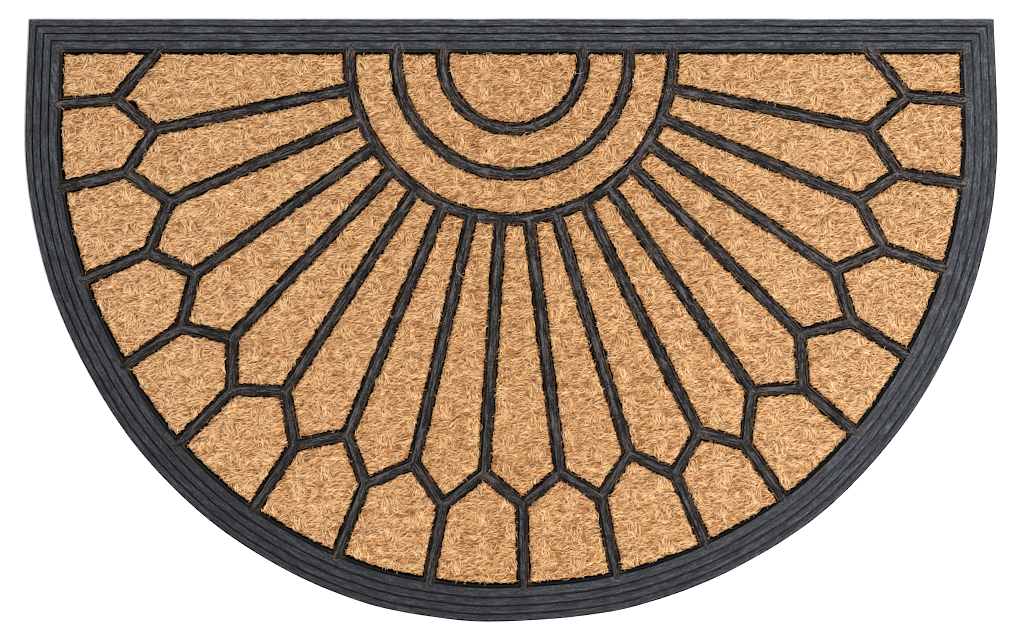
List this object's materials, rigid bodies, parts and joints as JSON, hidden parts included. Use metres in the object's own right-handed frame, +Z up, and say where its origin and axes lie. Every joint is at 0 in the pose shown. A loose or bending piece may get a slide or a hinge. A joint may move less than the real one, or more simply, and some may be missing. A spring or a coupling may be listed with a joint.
{
  "type": "doormat",
  "caption": "Half-round doormat: one rubber moulding with a stepped border and a sunburst of raised ribs, and woven coir panels laid between the ribs.",
  "frame": {"origin": "middle of the mat's footprint, on the floor it lies on", "axes": "+X along the straight edge, +Y towards the straight edge, +Z up from the floor"},
  "size_m": [0.7508, 0.465, 0.009],
  "materials": {
    "rubber": "matt dark blue-grey moulded rubber, slightly dusty",
    "coir": "coarse woven coir, natural tan, with loose fibres"
  },
  "bodies": {
    "root": {"rubber_moulding": "rubber", "coir_half_disc": "coir", "coir_ring_inner": "coir", "coir_ring_outer": "coir", "coir_ray_01": "coir", "coir_ray_02": "coir", "coir_ray_03": "coir", "coir_ray_04": "coir", "coir_ray_05": "coir", "coir_ray_06": "coir", "coir_ray_07": "coir", "coir_ray_08": "coir", "coir_ray_09": "coir", "coir_ray_10": "coir", "coir_ray_11": "coir", "coir_ray_12": "coir", "coir_ray_13": "coir", "coir_ray_14": "coir", "coir_ray_15": "coir", "coir_ray_16": "coir", "coir_ray_17": "coir", "coir_rim_01": "coir", "coir_rim_02": "coir", "coir_rim_03": "coir", "coir_rim_04": "coir", "coir_rim_05": "coir", "coir_rim_06": "coir", "coir_rim_07": "coir", "coir_rim_08": "coir", "coir_rim_09": "coir", "coir_rim_10": "coir", "coir_rim_11": "coir", "coir_rim_12": "coir", "coir_rim_13": "coir", "coir_rim_14": "coir", "coir_rim_15": "coir", "coir_rim_16": "coir", "coir_rim_17": "coir", "coir_rim_18": "coir"}
  },
  "joints": []
}
